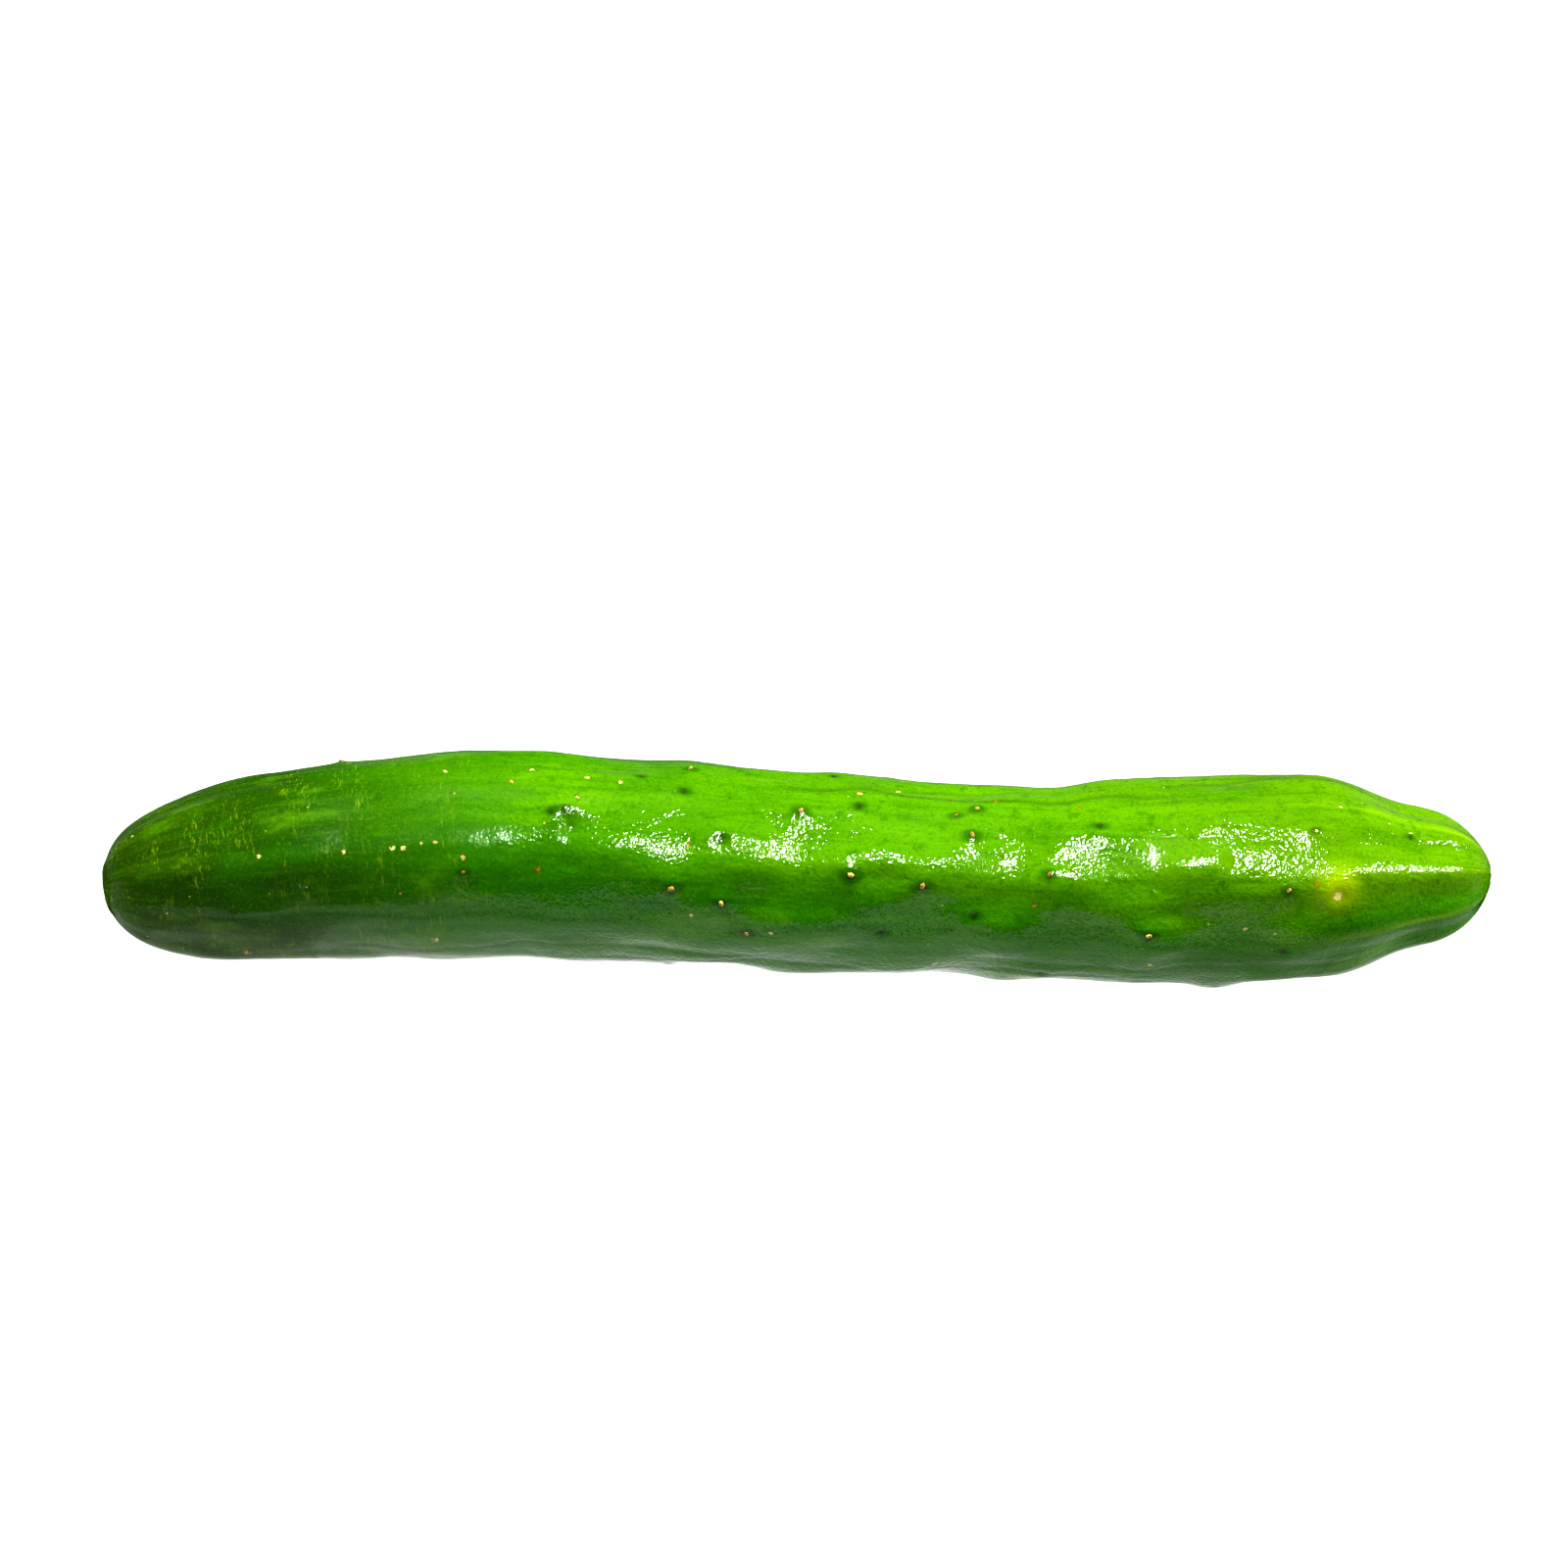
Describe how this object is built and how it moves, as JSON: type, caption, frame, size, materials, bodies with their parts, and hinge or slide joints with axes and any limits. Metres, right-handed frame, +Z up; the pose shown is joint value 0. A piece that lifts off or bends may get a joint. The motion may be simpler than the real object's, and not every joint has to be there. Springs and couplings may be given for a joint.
{
  "type": "cucumber",
  "caption": "Whole slim green cucumber with a warty skin and a gentle bend, lying on its side, stem scar at one end and blossom nub at the other.",
  "frame": {"origin": "centre of the bounding box's bottom face, on the surface the fruit rests on", "axes": "+X along the fruit from the stem end to the blossom end, +Z up, -Y to the front"},
  "size_m": [0.2152, 0.0382, 0.0323],
  "materials": {
    "skin": "satin"
  },
  "bodies": {
    "root": {"cucumber": "skin"}
  },
  "joints": []
}
